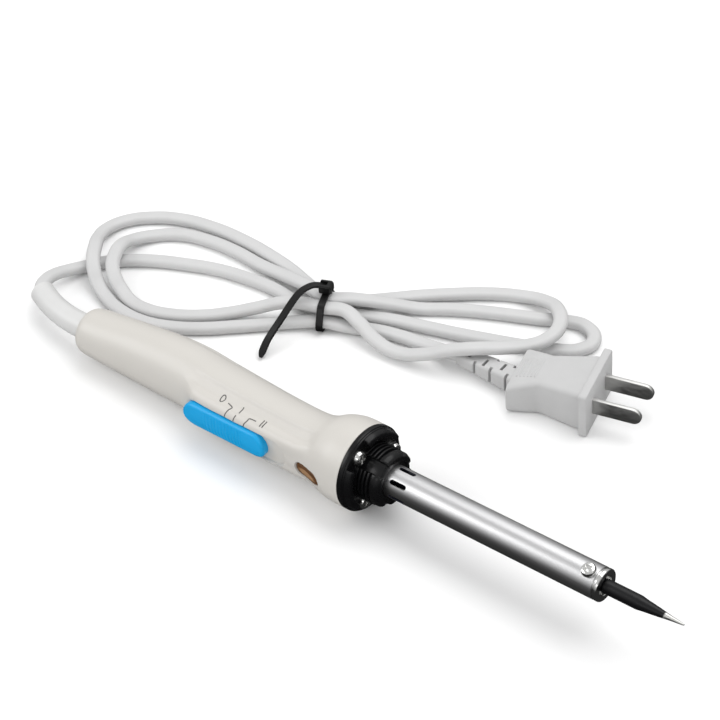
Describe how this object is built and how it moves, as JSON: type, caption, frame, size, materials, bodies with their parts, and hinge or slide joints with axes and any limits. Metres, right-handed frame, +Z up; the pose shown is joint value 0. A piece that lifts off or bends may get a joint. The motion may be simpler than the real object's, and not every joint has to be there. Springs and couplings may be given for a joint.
{
  "type": "soldering iron",
  "caption": "Two-heat soldering iron with a conical tip, finned nose, sliding power switch, indicator window and a tied flat cord with a flat-blade plug.",
  "frame": {"origin": "on the surface the iron lies on, under the middle of its box, the cord and plug left out", "axes": "+X from the handle towards the tip, +Z up, -Y towards the side with the slider; the iron's own axis rises towards the tip by its rest angle"},
  "size_m": [0.2963, 0.1292, 0.0314],
  "materials": {
    "handle_plastic": "satin",
    "slider_plastic": "satin",
    "switch_black": "matte",
    "switch_steel": "satin",
    "board_green": "gloss",
    "diode_black": "gloss",
    "resistor_tan": "gloss",
    "screw_steel": "polished",
    "lamp_glass": "clear",
    "lens_amber": "gloss",
    "wire_sleeve": "satin",
    "clamp_plastic": "matte",
    "relief_vinyl": "satin",
    "nose_phenolic": "gloss",
    "barrel_steel": "satin",
    "bush_steel": "polished",
    "tip_black": "satin black with a tinned end",
    "tube_steel": "dull",
    "winding_mica": "matte",
    "mica_sheet": "matte",
    "white_ceramic": "unglazed ceramic",
    "glass_sleeving": "woven",
    "cord_vinyl": "satin",
    "tie_nylon": "satin",
    "plug_vinyl": "satin",
    "blade_nickel": "bright"
  },
  "bodies": {
    "iron": {"handle_shell": "handle_plastic", "back_cover": "handle_plastic", "slide_switch": "switch_steel", "control_board": "board_green", "power_diode": "diode_black", "lamp_resistor": "resistor_tan", "board_screws": "screw_steel", "neon_lamp": "lamp_glass", "indicator_lens": "lens_amber", "supply_wires": "wire_sleeve", "cord_clamp": "clamp_plastic", "clamp_bar_screws": "screw_steel", "strain_relief": "relief_vinyl", "front_nose": "nose_phenolic", "flange_screws": "screw_steel", "heater_barrel": "barrel_steel", "end_bush": "bush_steel", "heater_tube": "tube_steel", "heater_winding": "winding_mica", "mica_sleeve": "mica_sheet", "ceramic_bush": "white_ceramic", "heater_leads": "glass_sleeving", "mains_cord": "cord_vinyl", "cable_tie": "tie_nylon", "plug_body": "plug_vinyl", "plug_blades": "blade_nickel"},
    "slider": {"slider_button": "slider_plastic", "switch_lever": "switch_black"},
    "tip": {"soldering_tip": "tip_black"},
    "clamp_screw": {"tip_clamp_screw": "screw_steel"}
  },
  "joints": [
    {"name": "power_slide", "type": "slide", "parent": "iron", "child": "slider", "axis": [0.9991, 0, 0.0432], "range_m": [0, 0.008]},
    {"name": "tip_pull", "type": "slide", "parent": "iron", "child": "tip", "axis": [0.9991, 0, 0.0432], "range_m": [0, 0.03]},
    {"name": "clamp_turn", "type": "hinge", "parent": "iron", "child": "clamp_screw", "pos_m": [0.09387, -0.00176, 0.02499], "axis": [-0.0411, -0.309, 0.9502], "range_deg": [0, 360]}
  ]
}
